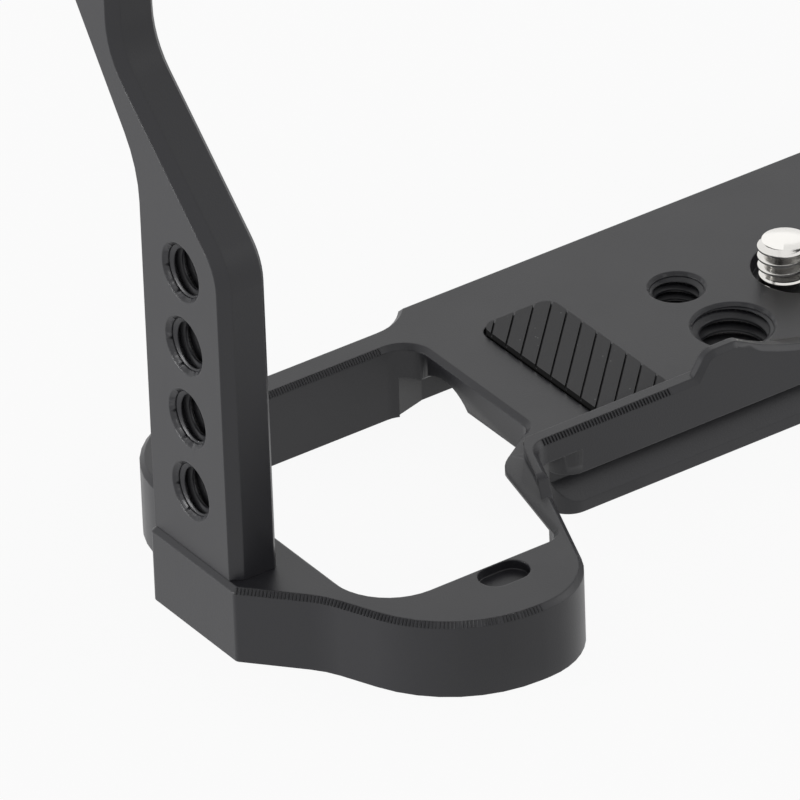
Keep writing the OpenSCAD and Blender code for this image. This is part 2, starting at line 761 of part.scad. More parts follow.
// Top bar with the bay for the viewfinder hump
module top_plate() {
    bridge_y = (bay_front + bridge_front) / 2;
    color([0.1, 0.1, 0.105])
        difference() {
            plate(top_out, bay_h, top_z, edge_c, edge_c);
            for (i = [-1:1])
                translate([top_row_x + i * hole_pitch, top_row_y, 0])
                    chamfered_hole(quarter_r, bay_h, top_z, hole_c);
            translate([lens_x, bridge_y, 0])
                chamfered_hole(three_eighths_r, bay_h, top_z, hole_c);
            for (x = [-2, 2])
                translate([lens_x + x * hole_pitch, bridge_y, 0])
                    chamfered_hole(quarter_r, bay_h, top_z, hole_c);
            translate([upright_x, grip_top_screw_y, top_z])
                mirror([0, 0, 1])
                    flat_screw_room(top_screw_r, top_screw_l);
            translate([upright_x, grip_top_pin_y, bay_h - pin_high])
                cylinder(h = 2 * pin_high, r = pin_r);
            for (y = port_top_screw_y)
                translate([port_x, y, top_z])
                    mirror([0, 0, 1])
                        flat_screw_room(top_screw_r, top_screw_l);
            translate([port_x, 0, bay_h - pin_high])
                cylinder(h = 2 * pin_high, r = pin_r);
            for (y = shoe_screw_y)
                translate([shoe_x, shoe_y + y, top_z + shoe_floor])
                    mirror([0, 0, 1])
                        flat_screw_room(shoe_screw_r, shoe_screw_l);
        }
}

// Ribbed rubber pad that lies in a recess of the deck
module deck_pad() {
    pad_d = pad_rear - pad_front;
    groove_w = 0.4;
    groove_deep = 0.4;
    difference() {
        translate([pad_left, pad_front, pad_floor])
            linear_extrude(height = pad_h - pad_floor)
                polygon(rounded([
                    [0, 0, pad_r], [pad_w, 0, pad_r], [pad_w, pad_d, pad_r], [0, pad_d, pad_r]
                ]));
        for (i = [-4:9])
            translate([pad_left + pad_w, pad_front + (i - 0.9) * pad_pitch * sqrt(2), pad_h - groove_deep])
                rotate([0, 0, 45])
                    translate([-2 * pad_d, 0, 0])
                        cube([4 * pad_d, groove_w, groove_deep + over]);
    }
}

module grip_pad() {
    color([0.12, 0.12, 0.12])
        deck_pad();
}

module port_pad() {
    color([0.12, 0.12, 0.12])
        translate([2 * lens_x, 0, 0])
            mirror([1, 0, 0])
                deck_pad();
}

// Camera screw with a wide head, slotted for a coin and with a hexagon socket
module camera_screw() {
    thread_low = 0.3;
    tip_c = 0.7;
    neck = 0.25;
    slot_w = 1.6;
    slot_d = 1.2;
    color([0.75, 0.75, 0.74])
        translate([screw_x, -screw_y, 0])
            difference() {
                union() {
                    translate([0, 0, screw_tip - tip_c])
                        cylinder(h = tip_c, r1 = screw_r, r2 = screw_r - tip_c);
                    translate([0, 0, thread_low])
                        cylinder(h = screw_tip - tip_c - thread_low, r = screw_r);
                    translate([0, 0, thread_low - neck])
                        cylinder(h = neck, r = screw_r - 2 * neck);
                    translate([0, 0, head_top])
                        cylinder(h = thread_low - neck - head_top, r = shank_r);
                    translate([0, 0, head_low])
                        cylinder(h = head_top - head_low, r = head_r);
                }
                translate([-head_r - over, -slot_w / 2, head_low - over])
                    cube([2 * (head_r + over), slot_w, slot_d + over]);
            }
}

// Slip washer between the head and the deck
module screw_washer() {
    color([0.8, 0.8, 0.78])
        translate([screw_x, -screw_y, head_top + turn_play])
            difference() {
                cylinder(h = washer_t, r = washer_r);
                translate([0, 0, -over])
                    cylinder(h = washer_t + 2 * over, r = shank_r + turn_play);
            }
}

// Spring clip that keeps the screw in the base
module screw_clip() {
    gap = 4;
    lug_r = 1.3;
    lug_in = 1.4;
    lug_at = clip_in + lug_in;
    color([0.2, 0.2, 0.21])
        translate([float_mid, -screw_y, clip_z - clip_t])
            difference() {
                cylinder(h = clip_t, r = head_room_r + clip_groove - turn_play);
                translate([0, 0, -over])
                    cylinder(h = clip_t + 2 * over, r = clip_in);
                translate([0, -gap / 2, -over])
                    cube([head_room_r + over, gap, clip_t + 2 * over]);
                for (a = [-28, 28])
                    rotate([0, 0, a])
                        translate([lug_at + lug_r / 2, 0, -over])
                            cylinder(h = clip_t + 2 * over, r = lug_r / 2);
            }
}

module grip_foot_screws() {
    color([0.15, 0.15, 0.16])
        for (y = grip_foot_y)
            translate([upright_x, y, -base_h])
                flat_screw(foot_screw_r, foot_screw_l);
}

module port_foot_screws() {
    color([0.15, 0.15, 0.16])
        for (y = port_foot_y)
            translate([port_x, y, -base_h])
                flat_screw(foot_screw_r, foot_screw_l);
}

module grip_foot_pin() {
    color([0.6, 0.6, 0.6])
        translate([upright_x, grip_pin_y, pin_low])
            cylinder(h = pin_high - pin_low, r = pin_r);
}

module port_foot_pin() {
    color([0.6, 0.6, 0.6])
        translate([port_x, port_pin_y, pin_low])
            cylinder(h = pin_high / 2 - pin_low, r = pin_r);
}

module grip_top_screw() {
    color([0.15, 0.15, 0.16])
        translate([upright_x, grip_top_screw_y, top_z])
            mirror([0, 0, 1])
                flat_screw(top_screw_r, top_screw_l);
}

module port_top_screws() {
    color([0.15, 0.15, 0.16])
        for (y = port_top_screw_y)
            translate([port_x, y, top_z])
                mirror([0, 0, 1])
                    flat_screw(top_screw_r, top_screw_l);
}

module grip_top_pin() {
    color([0.6, 0.6, 0.6])
        translate([upright_x, grip_top_pin_y, bay_h - pin_high])
            cylinder(h = 2 * pin_high, r = pin_r);
}

module port_top_pin() {
    color([0.6, 0.6, 0.6])
        translate([port_x, 0, bay_h - pin_high])
            cylinder(h = 2 * pin_high, r = pin_r);
}

// Accessory shoe screwed to the top plate
module cold_shoe() {
    slot_w = 18.7;
    slot_h = 2.1;
    mouth_w = 12.7;
    wall = 1.8;
    lip_t = 1.5;
    shoe_l = 20;
    half = slot_w / 2;
    color([0.1, 0.1, 0.105])
        difference() {
            translate([shoe_x, shoe_y + shoe_l / 2, top_z])
                rotate([90, 0, 0])
                    linear_extrude(height = shoe_l)
                        polygon([
                            [-half - wall, 0], [half + wall, 0], [half + wall, shoe_floor + slot_h + lip_t],
                            [mouth_w / 2, shoe_floor + slot_h + lip_t], [mouth_w / 2, shoe_floor + slot_h],
                            [half, shoe_floor + slot_h], [half, shoe_floor], [-half, shoe_floor],
                            [-half, shoe_floor + slot_h], [-mouth_w / 2, shoe_floor + slot_h],
                            [-mouth_w / 2, shoe_floor + slot_h + lip_t],
                            [-half - wall, shoe_floor + slot_h + lip_t]
                        ]);
            for (y = shoe_screw_y)
                translate([shoe_x, shoe_y + y, top_z + shoe_floor])
                    mirror([0, 0, 1])
                        flat_screw_room(shoe_screw_r, shoe_screw_l);
        }
}

module shoe_screws() {
    color([0.15, 0.15, 0.16])
        for (y = shoe_screw_y)
            translate([shoe_x, shoe_y + y, top_z + shoe_floor])
                mirror([0, 0, 1])
                    flat_screw(shoe_screw_r, shoe_screw_l);
}

// Rubber strip under the top plate
module top_bumper() {
    bumper_w = 6;
    bumper_t = 1;
    bumper_l = 22;
    color([0.12, 0.12, 0.12])
        translate([left_x + 1.2, top_row_y - bumper_w / 2, bay_h - bumper_t])
            linear_extrude(height = bumper_t)
                polygon(rounded([
                    [-bumper_l + 8, 0, 1.5], [8, 0, 1.5], [8, bumper_w, 1.5], [-bumper_l + 8, bumper_w, 1.5]
                ]));
}

// Rubber strip on the inner face of the port upright
module side_bumper() {
    bumper_t = 0.8;
    bumper_w = 3.6;
    color([0.12, 0.12, 0.12])
        translate([port_in_x - bumper_t, 0, 0])
            rotate([90, 0, 90])
                linear_extrude(height = bumper_t)
                    polygon(rounded([
                        [port_front + 1.2, bay_h * 0.2, 1], [port_front + 1.2 + bumper_w, bay_h * 0.2, 1],
                        [port_front + 1.2 + bumper_w, bay_h * 0.48, 1], [port_front + 1.2, bay_h * 0.48, 1]
                    ]));
}

base_frame();
grip_upright();
port_upright();
top_plate();
grip_pad();
port_pad();
camera_screw();
screw_washer();
screw_clip();
grip_foot_screws();
grip_foot_pin();
port_foot_screws();
port_foot_pin();
grip_top_screw();
grip_top_pin();
port_top_screws();
port_top_pin();
cold_shoe();
shoe_screws();
top_bumper();
side_bumper();
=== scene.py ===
# %% [markdown]
# # A camera cage in black anodised aluminium
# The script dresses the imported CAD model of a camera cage: a milled base with a loop under the
# camera's grip, a leaning pillar, a frame on the cable side and a top bar. It adds what a drawing
# leaves out: the threads, the marks of the milling cutters, the ribs of the rubber pads and the
# surfaces. Blender works in metres. The part's sizes are written in millimetres and scaled by MM,
# and only the studio round it is in metres.

# %% Load the frame
import json
import math

import bpy
from mathutils import Matrix, Vector

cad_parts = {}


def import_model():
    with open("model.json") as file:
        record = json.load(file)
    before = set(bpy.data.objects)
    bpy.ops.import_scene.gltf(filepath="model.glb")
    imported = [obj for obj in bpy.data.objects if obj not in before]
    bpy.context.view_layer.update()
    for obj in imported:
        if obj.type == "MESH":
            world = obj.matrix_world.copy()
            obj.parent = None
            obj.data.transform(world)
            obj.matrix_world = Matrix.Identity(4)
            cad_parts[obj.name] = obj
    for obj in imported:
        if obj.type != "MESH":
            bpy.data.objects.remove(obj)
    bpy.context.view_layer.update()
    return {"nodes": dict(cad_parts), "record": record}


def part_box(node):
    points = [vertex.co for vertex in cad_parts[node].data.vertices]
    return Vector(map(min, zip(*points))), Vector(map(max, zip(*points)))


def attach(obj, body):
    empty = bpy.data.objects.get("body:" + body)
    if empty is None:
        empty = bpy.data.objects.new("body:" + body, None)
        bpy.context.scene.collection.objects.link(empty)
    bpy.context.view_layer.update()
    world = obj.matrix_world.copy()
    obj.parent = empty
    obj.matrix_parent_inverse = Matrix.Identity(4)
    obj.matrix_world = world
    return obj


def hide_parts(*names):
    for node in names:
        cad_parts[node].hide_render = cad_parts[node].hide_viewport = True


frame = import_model()
MM = 0.001
print("CAD nodes:", len(frame["nodes"]))

# %% [markdown]
# ## Camera
# The photograph was taken with a long lens from the front and the grip side, about 1.5 m away.
# The view was solved from the threaded holes, the straight edges and the dovetail's width. It could
# be typed as a place and three angles, but those say nothing to a reader. So the camera is placed
# by its turn round the part, its height, its roll and its distance, then shifted in its own plane.

# %% Camera
TURN = -33.869  # degrees round the part, from the front
HEIGHT = 31.910  # degrees over the deck
ROLL = -2.125  # degrees
DISTANCE = 1489.8 * MM
SHIFT = (-32.208 * MM, -13.153 * MM)
LENS = 575.85  # focal length in millimetres
FILM_WIDTH = 36


def place_camera():
    """Camera at the photograph's viewing angle, aimed by its own axes."""
    az, el, roll = (math.radians(a) for a in (TURN, HEIGHT, ROLL))
    back = Vector((math.sin(az) * math.cos(el), -math.cos(az) * math.cos(el), math.sin(el)))
    right = Vector((math.cos(az), math.sin(az), 0))
    up = back.cross(right)
    x = math.cos(roll) * right + math.sin(roll) * up
    y = math.cos(roll) * up - math.sin(roll) * right
    place = back * DISTANCE + x * SHIFT[0] + y * SHIFT[1]
    data = bpy.data.cameras.new("camera")
    data.lens = LENS
    data.sensor_width = FILM_WIDTH
    data.clip_start = 0.05
    obj = bpy.data.objects.new("camera", data)
    turned_to_view = Matrix((x, y, back)).transposed().to_4x4()
    obj.matrix_world = Matrix.Translation(place) @ turned_to_view
    bpy.context.scene.collection.objects.link(obj)
    bpy.context.scene.camera = obj
    return obj


camera = place_camera()
print("camera at", [round(c, 3) for c in camera.location])

# %% [markdown]
# ## Materials
# Each finish is a small network of nodes. Every node could be added by hand with its own few lines,
# but then the links hide what the surface is. One helper adds a node with its settings and its
# links, so a material reads as a list of what feeds what. A pattern's scale is worked out from the
# real size of its grains.


# %% Colours
def linear(code):
    """Linear colour of an sRGB hex code."""
    part = [int(code[i : i + 2], 16) / 255 for i in (1, 3, 5)]
    return [c / 12.92 if c <= 0.04045 else ((c + 0.055) / 1.055) ** 2.4 for c in part] + [1.0]


print("a mid grey is", round(linear("#808080")[0], 3), "in linear light")


# %% Node helper
def node(tree, kind, settings=None, **inputs):
    """Adds a node. An input is a value, or the socket that feeds it.

    A space in a socket's name is written _, and n0 is the socket with the number 0.
    """
    made = tree.nodes.new("ShaderNode" + kind)
    for key, value in (settings or {}).items():
        setattr(made, key, value)
    for key, value in inputs.items():
        numbered = key[0] == "n" and key[1:].isdigit()
        socket = made.inputs[int(key[1:]) if numbered else key.replace("_", " ")]
        if isinstance(value, bpy.types.NodeSocket):
            tree.links.new(value, socket)
        else:
            socket.default_value = value
    return made


def new_material(name):
    mat = bpy.data.materials.new(name)
    mat.use_nodes = True
    mat.node_tree.nodes.clear()
    return mat, mat.node_tree


def finish_material(tree, shader):
    node(tree, "OutputMaterial", Surface=shader.outputs[0])


def grains(size_mm):
    """Scale of a pattern whose grains are size_mm across."""
    return 1 / (size_mm * MM)


MATERIALS = {}

# %% [markdown]
# ## Black anodised aluminium
# The cage is milled from aluminium, blasted with fine beads and anodised black. The dyed oxide skin
# is glassy and not metallic: nearly black, with a soft sheen that gets brighter at a flat angle. So
# it is written as a dark coating and not as a metal. In one flat colour the long plain faces would
# look like plastic, so a fine grain breaks up the sheen and a slow cloud varies the gloss. The
# edges are broken by a quarter of a millimetre. The Bevel node turns the light over them there.

# %% Black anodised aluminium
EDGE_BREAK = 0.25


def anodised(name):
    mat, t = new_material(name)
    place = node(t, "TexCoord").outputs["Object"]
    # Blasted grain is about 0.05 mm, too fine to show, so it is drawn at 0.22 mm
    grain = node(t, "TexNoise", Vector=place, Scale=grains(0.22), Detail=2.0, Roughness=0.7)
    cloud = node(t, "TexNoise", Vector=place, Scale=grains(9), Detail=2.0)
    rough = node(t, "MapRange", Value=cloud.outputs["Fac"], To_Min=0.34, To_Max=0.42)
    soft = node(t, "Bevel", {"samples": 6}, Radius=EDGE_BREAK * MM)
    bump = node(
        t, "Bump", Strength=0.5, Distance=0.03 * MM, Height=grain.outputs["Fac"],
        Normal=soft.outputs[0],
    )
    shader = node(
        t, "BsdfPrincipled", Base_Color=linear("#212125"), Roughness=rough.outputs[0],
        Normal=bump.outputs[0], Specular_IOR_Level=0.48,
    )
    finish_material(t, shader)
    return mat


MATERIALS["anodised_aluminium"] = anodised("black_anodised_aluminium")
print("materials:", list(MATERIALS))

# %% [markdown]
# ## Rubber
# Pads and bumpers are moulded from matt black rubber. Their tops are grey, dust sticks there as
# pale specks, and the sides of the ribs and of the pads are painted near black as shade, which
# falls into the grooves and the gap round each pad. A picture of rubber could be laid over them,
# but it would stretch over the ribs. Here the way a face points tells a top from a shaded side, and
# the specks sit in a few cells of a cell pattern.


# %% Rubber
def rubber(name):
    mat, t = new_material(name)
    coordinates = node(t, "TexCoord")
    place = coordinates.outputs["Object"]
    grain = node(t, "TexNoise", Vector=place, Scale=grains(0.25), Detail=3.0)
    # Specks: the middles of the cells, about 28 in 100, whose random colour is over 0.72
    cell = node(t, "TexVoronoi", {"feature": "F1"}, Vector=place, Scale=grains(0.9))
    near = node(
        t, "MapRange", Value=cell.outputs["Distance"],
        From_Min=0.06, From_Max=0.14, To_Min=1.0, To_Max=0.0,
    )
    draw = node(t, "SeparateColor", Color=cell.outputs["Color"])
    drawn = node(t, "Math", {"operation": "GREATER_THAN"}, n0=draw.outputs[0], n1=0.72)
    speck = node(t, "Math", {"operation": "MULTIPLY"}, n0=near.outputs[0], n1=drawn.outputs[0])
    colours = {"A": linear("#5c5c5d"), "B": linear("#8a8a8a")}
    top = node(t, "Mix", {"data_type": "RGBA"}, Factor=speck.outputs[0], **colours)
    up = node(t, "SeparateXYZ", Vector=coordinates.outputs["Normal"])
    # Painted shade: faces that turn away from up, the sides of the ribs and pads, get near black;
    # tops keep the grey
    side_shade_mask = node(t, "MapRange", Value=up.outputs["Z"], From_Min=0.3, From_Max=0.9)
    colours = {"A": linear("#060606"), "B": top.outputs["Result"]}
    colour = node(t, "Mix", {"data_type": "RGBA"}, Factor=side_shade_mask.outputs[0], **colours)
    bump = node(t, "Bump", Strength=0.4, Distance=0.03 * MM, Height=grain.outputs["Fac"])
    shader = node(
        t, "BsdfPrincipled", Base_Color=colour.outputs["Result"], Roughness=0.85,
        Normal=bump.outputs[0], Specular_IOR_Level=0.18,
    )
    finish_material(t, shader)
    return mat


MATERIALS["rubber"] = rubber("matt_black_rubber")
print("materials:", list(MATERIALS))

# %% [markdown]
# ## Steel and nylon
# The camera screw is nickel plated and bright, its spring clip is blackened, the small screws are
# oxidised black and the dowel pins are ground. All are steel under a thin skin, so one network with
# its own colour and gloss makes them all: fine rub marks change the gloss and not the colour. The
# slip washer is moulded nylon, milky and a little waxy, with the mould's faint grain.


# %% Steel and nylon
def plated_steel(name, code, rough):
    mat, t = new_material(name)
    place = node(t, "TexCoord").outputs["Object"]
    rubs = node(t, "TexNoise", Vector=place, Scale=grains(0.6), Detail=4.0)
    gloss = node(
        t, "MapRange", Value=rubs.outputs["Fac"], To_Min=rough * 0.7, To_Max=rough * 1.4
    )
    shader = node(
        t, "BsdfPrincipled", Base_Color=linear(code), Metallic=1.0, Roughness=gloss.outputs[0]
    )
    finish_material(t, shader)
    return mat


def moulded_nylon(name, code, rough):
    mat, t = new_material(name)
    place = node(t, "TexCoord").outputs["Object"]
    grain = node(t, "TexNoise", Vector=place, Scale=grains(0.4), Detail=2.0)
    gloss = node(
        t, "MapRange", Value=grain.outputs["Fac"], To_Min=rough * 0.8, To_Max=rough * 1.2
    )
    bump = node(t, "Bump", Strength=0.3, Distance=0.01 * MM, Height=grain.outputs["Fac"])
    shader = node(
        t, "BsdfPrincipled", Base_Color=linear(code), Roughness=gloss.outputs[0],
        Normal=bump.outputs[0],
    )
    finish_material(t, shader)
    return mat


MATERIALS["nickel_steel"] = plated_steel("bright_nickel_plated_steel", "#e2e0dc", 0.16)
MATERIALS["nylon"] = moulded_nylon("natural_nylon", "#d8d6cc", 0.45)
MATERIALS["spring_steel"] = plated_steel("blackened_spring_steel", "#3a3a3c", 0.4)
MATERIALS["black_steel"] = plated_steel("black_oxide_steel", "#333336", 0.35)
MATERIALS["pin_steel"] = plated_steel("ground_steel", "#b4b4b6", 0.3)
print("materials:", list(MATERIALS))

# %% Materials of the CAD nodes
for part in frame["record"]["subparts"]:
    obj = frame["nodes"][part["node"]]
    obj.data.materials.clear()
    obj.data.materials.append(MATERIALS[part["material_slot"]])
    print(part["node"], "is", part["material_slot"])

# %% [markdown]
# ## Working by hand in code
# Every new piece starts from a primitive and is shaped with the operators of edit mode. An operator
# acts on all that is selected, so nothing is selected before a primitive is added. A finished
# piece is given its material, rides on the body that carries it and hides the CAD nodes it stands
# for.


# %% Selecting, editing and cutting
def deselect():
    if bpy.context.mode != "OBJECT":
        bpy.ops.object.mode_set(mode="OBJECT")
    bpy.ops.object.select_all(action="DESELECT")


def pick(obj):
    """Only obj selected and active."""
    deselect()
    obj.select_set(True)
    bpy.context.view_layer.objects.active = obj
    return obj


def apply_modifier(obj, kind, **settings):
    pick(obj)
    made = obj.modifiers.new(kind.lower(), kind)
    for key, value in settings.items():
        setattr(made, key, value)
    bpy.ops.object.modifier_apply(modifier=made.name)
    return obj


def edit(obj, *steps):
    """Runs edit-mode steps on everything in obj."""
    pick(obj)
    bpy.ops.object.mode_set(mode="EDIT")
    bpy.ops.mesh.select_all(action="SELECT")
    for step in steps:
        step()
    bpy.ops.object.mode_set(mode="OBJECT")
    return obj


def cut(obj, cutter):
    """Takes the cutter away from obj."""
    apply_modifier(obj, "BOOLEAN", operation="DIFFERENCE", solver="EXACT", object=cutter)
    bpy.data.objects.remove(cutter, do_unlink=True)
    return obj


def own_copy(obj):
    """A copy of obj with its own mesh."""
    made = obj.copy()
    made.data = obj.data.copy()
    bpy.context.scene.collection.objects.link(made)
    return made


# %% Finished piece
def finish_piece(obj, name, slot, body, *nodes, angle=28):
    """Smooth faces, sharp edges past the angle, material, body and the nodes it stands for."""
    obj.name = name
    obj.data.name = name
    pick(obj)
    bpy.ops.object.shade_smooth_by_angle(angle=math.radians(angle))
    apply_modifier(obj, "WEIGHTED_NORMAL", keep_sharp=True)
    obj.data.materials.clear()
    obj.data.materials.append(MATERIALS[slot])
    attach(obj, body)
    if nodes:
        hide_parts(*nodes)
    print(name, "faces:", len(obj.data.polygons))
    return obj


# %% [markdown]
# ## Machined bodies
# The milled pieces have their exact shape from the CAD model, but a CAD mesh is loose triangles, so
# every arc shows its facets. A copy has its points merged and its flat faces joined, and is then
# shaded smooth up to an angle, with normals weighted by area, so that flat faces stay flat and arcs
# turn evenly. A real bevel on these many small edges would break the mesh, so the edge softness is
# left to the material.

# %% Smooth copies of the machined bodies
CAD_WELD = 0.001 * MM
FLAT_WITHIN = math.radians(0.2)


def machined(node_name):
    source = frame["nodes"][node_name]
    obj = bpy.data.objects.new(node_name + "_milled", source.data.copy())
    bpy.context.scene.collection.objects.link(obj)
    edit(
        obj,
        lambda: bpy.ops.mesh.remove_doubles(threshold=CAD_WELD),
        lambda: bpy.ops.mesh.dissolve_limited(angle_limit=FLAT_WITHIN),
    )
    name = node_name + "_milled"
    return finish_piece(obj, name, "anodised_aluminium", "cage", node_name, angle=24)


for milled in ("base_frame", "grip_upright", "port_upright", "top_plate"):
    machined(milled)

# %% [markdown]
# ## Threads
# A screw thread is one groove that winds round a cylinder. It could be painted as a bump, but in
# the photograph its crests catch the light and hide what is behind them, so it is cut as on a
# lathe: a blank is turned from a profile, and a long helical cutter is taken away from it.

# %% Turned blank and helical cutter
TURNED_WELD = 0.0005 * MM
FULL_TURN = 2 * math.pi


def turned(profile, steps=64):
    """Solid of revolution round Z from points (radius, height) in millimetres."""
    deselect()
    bpy.ops.mesh.primitive_plane_add(size=MM)
    obj = bpy.context.object
    bpy.ops.object.mode_set(mode="EDIT")
    bpy.ops.mesh.merge(type="CENTER")
    r, z = profile[0]
    bpy.ops.transform.translate(value=(r * MM, 0, z * MM))
    for (r0, z0), (r1, z1) in zip(profile, profile[1:]):
        move = {"value": ((r1 - r0) * MM, 0, (z1 - z0) * MM)}
        bpy.ops.mesh.extrude_vertices_move(TRANSFORM_OT_translate=move)
    bpy.ops.mesh.select_all(action="SELECT")
    bpy.ops.mesh.spin(steps=steps, angle=FULL_TURN, center=(0, 0, 0), axis=(0, 0, 1))
    bpy.ops.mesh.select_all(action="SELECT")
    bpy.ops.mesh.remove_doubles(threshold=TURNED_WELD)
    bpy.ops.mesh.normals_make_consistent(inside=False)
    bpy.ops.object.mode_set(mode="OBJECT")
    return obj


def helix(inner, outer, pitch, low, turns, steps=48):
    """Closed helical bar. inner and outer are (radius, width) of its cross-section, in mm."""
    deselect()
    bpy.ops.mesh.primitive_plane_add(size=MM)
    obj = bpy.context.object
    corners = [(inner, -0.5), (outer, -0.5), (inner, 0.5), (outer, 0.5)]
    for vert, ((r, width), side) in zip(obj.data.vertices, corners):
        vert.co = (r * MM, 0, (low + side * width) * MM)
    apply_modifier(
        obj, "SCREW", axis="Z", angle=FULL_TURN, screw_offset=pitch * MM,
        iterations=turns, steps=steps, render_steps=steps,
    )
    return edit(
        obj,
        lambda: bpy.ops.mesh.remove_doubles(threshold=TURNED_WELD),
        lambda: bpy.ops.mesh.fill_holes(sides=4),
        lambda: bpy.ops.mesh.normals_make_consistent(inside=False),
    )


# %% [markdown]
# ## Inner threads
# Each hole of the CAD model is a plain bore with a chamfer at both mouths. The thread could be cut
# into the whole base, but one bad cut would then spoil it. So a threaded sleeve lines the hole, its
# outside buried in the metal. It starts a little under the chamfer, because two faces in one plane
# would sparkle. One sleeve is cut for each row of holes, and its copies are moved to their places.
# The sizes are those of the 1/4 inch thread, 20 turns to the inch, and the 3/8 inch thread, 16.

# %% Threaded sleeve
# Outer radius, inner radius and pitch of the two threads
THREADS = {"quarter": (3.175, 2.58, 1.27), "three_eighths": (4.7625, 3.97, 1.5875)}
BURIED = 0.03  # how far the sleeve reaches into the metal
UNDER_CHAMFER = 0.1  # how far below the chamfer the sleeve starts
LEAD_IN = 0.6  # height of its conical ends for each millimetre of width
GROOVE_MOUTH = 0.8  # width of the groove where it opens, in shares of the pitch
GROOVE_ROOT = 0.14  # width of its flat bottom
PAST_BORE = 0.12  # how far the cutter stands out into the bore
RUN_OUT = 0.6  # how far the groove starts below the sleeve, in shares of the pitch
MORE_TURNS = 2  # turns of the cutter past the sleeve's length


def sleeve(kind, depth, mouth):
    """Threaded lining of a hole that starts at z = 0 and goes down, chamfered at both mouths."""
    major, minor, pitch = THREADS[kind]
    out = major + BURIED
    top = mouth + UNDER_CHAMFER
    cone = top + LEAD_IN * (out - minor)
    blank = turned(
        [(out, -top), (minor, -cone), (minor, cone - depth), (out, top - depth), (out, -top)]
    )
    opening = (minor - PAST_BORE, pitch * GROOVE_MOUTH + PAST_BORE)
    root = (major, pitch * GROOVE_ROOT)
    start = -depth - pitch * RUN_OUT
    cutter = helix(opening, root, pitch, start, int(depth / pitch) + MORE_TURNS)
    return cut(blank, cutter)


def line_holes(name, kind, depth, mouth, places, tilt=0):
    """One sleeve for each place in millimetres, tilted round Y by degrees."""
    master = sleeve(kind, depth, mouth)
    tilted = Matrix.Rotation(math.radians(tilt), 4, "Y")
    for i, place in enumerate(places, start=1):
        obj = master if i == len(places) else own_copy(master)
        obj.data.transform(Matrix.Translation(Vector(place) * MM) @ tilted)
        finish_piece(obj, f"{name}_{i}", "anodised_aluminium", "cage", angle=30)


# %% Holes of the deck, the uprights and the top plate
BASE_H = 9.7
UPRIGHT_T = 6.1
TOP_T = 7
TOP_Z = 87
DECK_MOUTH = 0.375  # chamfer round the deck's holes
MOUTH = 0.5  # chamfer round the other holes
HOLE_PITCH = 9.6
LENS_X = 11.2
BRIDGE_Y = -22
DECK_HOLE = (0, 0, 0)
DECK_WIDE_HOLE = (0.2, -10.8, 0)
TOP_WIDE_HOLE = (LENS_X, BRIDGE_Y, TOP_Z)
GRIP_ROW = [(-77, -13.2, 8.4 + HOLE_PITCH * i) for i in range(4)]
PORT_ROW = [(69.9, 2.3 - HOLE_PITCH * i, 6.4) for i in range(2)]
TOP_ROW = [(-50 + HOLE_PITCH * i, 4.25, TOP_Z) for i in (-1, 0, 1)]
BRIDGE_PAIR = [(LENS_X + 2 * HOLE_PITCH * i, BRIDGE_Y, TOP_Z) for i in (-1, 1)]

line_holes("deck_quarter_thread", "quarter", BASE_H, DECK_MOUTH, [DECK_HOLE])
line_holes("deck_three_eighths_thread", "three_eighths", BASE_H, DECK_MOUTH, [DECK_WIDE_HOLE])
line_holes("grip_side_thread", "quarter", UPRIGHT_T, MOUTH, GRIP_ROW, tilt=-90)
line_holes("port_side_thread", "quarter", UPRIGHT_T, MOUTH, PORT_ROW, tilt=90)
line_holes("top_thread", "quarter", TOP_T, MOUTH, TOP_ROW + BRIDGE_PAIR)
line_holes("top_three_eighths_thread", "three_eighths", TOP_T, MOUTH, [TOP_WIDE_HOLE])

# %% [markdown]
# ## Camera screw
# The screw that holds the camera is turned from steel and nickel plated. A stack of cylinders would
# leave seams, so its blank is turned in one piece: a wide head, a shank that slides in the base and
# an end with a rounded tip. The same kind of helical cutter makes the outer thread, and a bar
# across the head leaves the slot for a coin.

# %% Camera screw
SCREW_AT = (11.8, -5.2)
HEAD_TOP = -4.9
HEAD_R = 5.5
SHANK_R = 3.05
THREAD_R, _, THREAD_PITCH = THREADS["quarter"]
NECK_R = 2.85
GROOVE_BOTTOM = (2.42, 0.16)  # radius and width of the outer thread's groove at its bottom
GROOVE_TOP = (3.3, 1.18)  # and just outside the crests
THREAD_START = 0.05
THREAD_TURNS = 5
SLOT = (12, 1.6, 1.4)
SLOT_MIDDLE = 0.5  # height of the slot's middle over the head's end face

# Points (radius, height) of the profile, from the head's end face up to the tip
low, high = (c[2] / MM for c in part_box("camera_screw"))
head = [(0, low), (HEAD_R - 0.3, low), (HEAD_R, low + 0.3), (HEAD_R, HEAD_TOP - 0.3)]
shoulder = [(HEAD_R - 0.25, HEAD_TOP), (SHANK_R, HEAD_TOP), (SHANK_R, 0.15)]
neck = [(NECK_R, 0.35), (NECK_R, 0.5), (THREAD_R, 0.85), (THREAD_R, high - 0.55)]
tip = [(3.0, high - 0.2), (2.62, high), (0, high)]
blank = turned(head + shoulder + neck + tip)
cutter = helix(GROOVE_BOTTOM, GROOVE_TOP, THREAD_PITCH, THREAD_START, THREAD_TURNS)
screw = cut(blank, cutter)
deselect()
bpy.ops.mesh.primitive_cube_add(
    size=1, location=(0, 0, (low + SLOT_MIDDLE) * MM), scale=[side * MM for side in SLOT]
)
screw = cut(screw, bpy.context.object)
screw.data.transform(Matrix.Translation((SCREW_AT[0] * MM, SCREW_AT[1] * MM, 0)))
finish_piece(screw, "camera_screw_turned", "nickel_steel", "screw", "camera_screw", angle=32)

# %% [markdown]
# ## Rubber pads
# The two pads are ribbed: narrow grooves run across each at about 47 degrees, 2.95 mm apart along
# its length. Each rib could be a piece of its own, but a moulded pad is one skin. So the blank is a
# cube pulled to size with its upright edges rounded, and the grooves are a row of thin bars taken
# away in one cut. The pad on the cable side is the mirror image in the lens's middle plane.

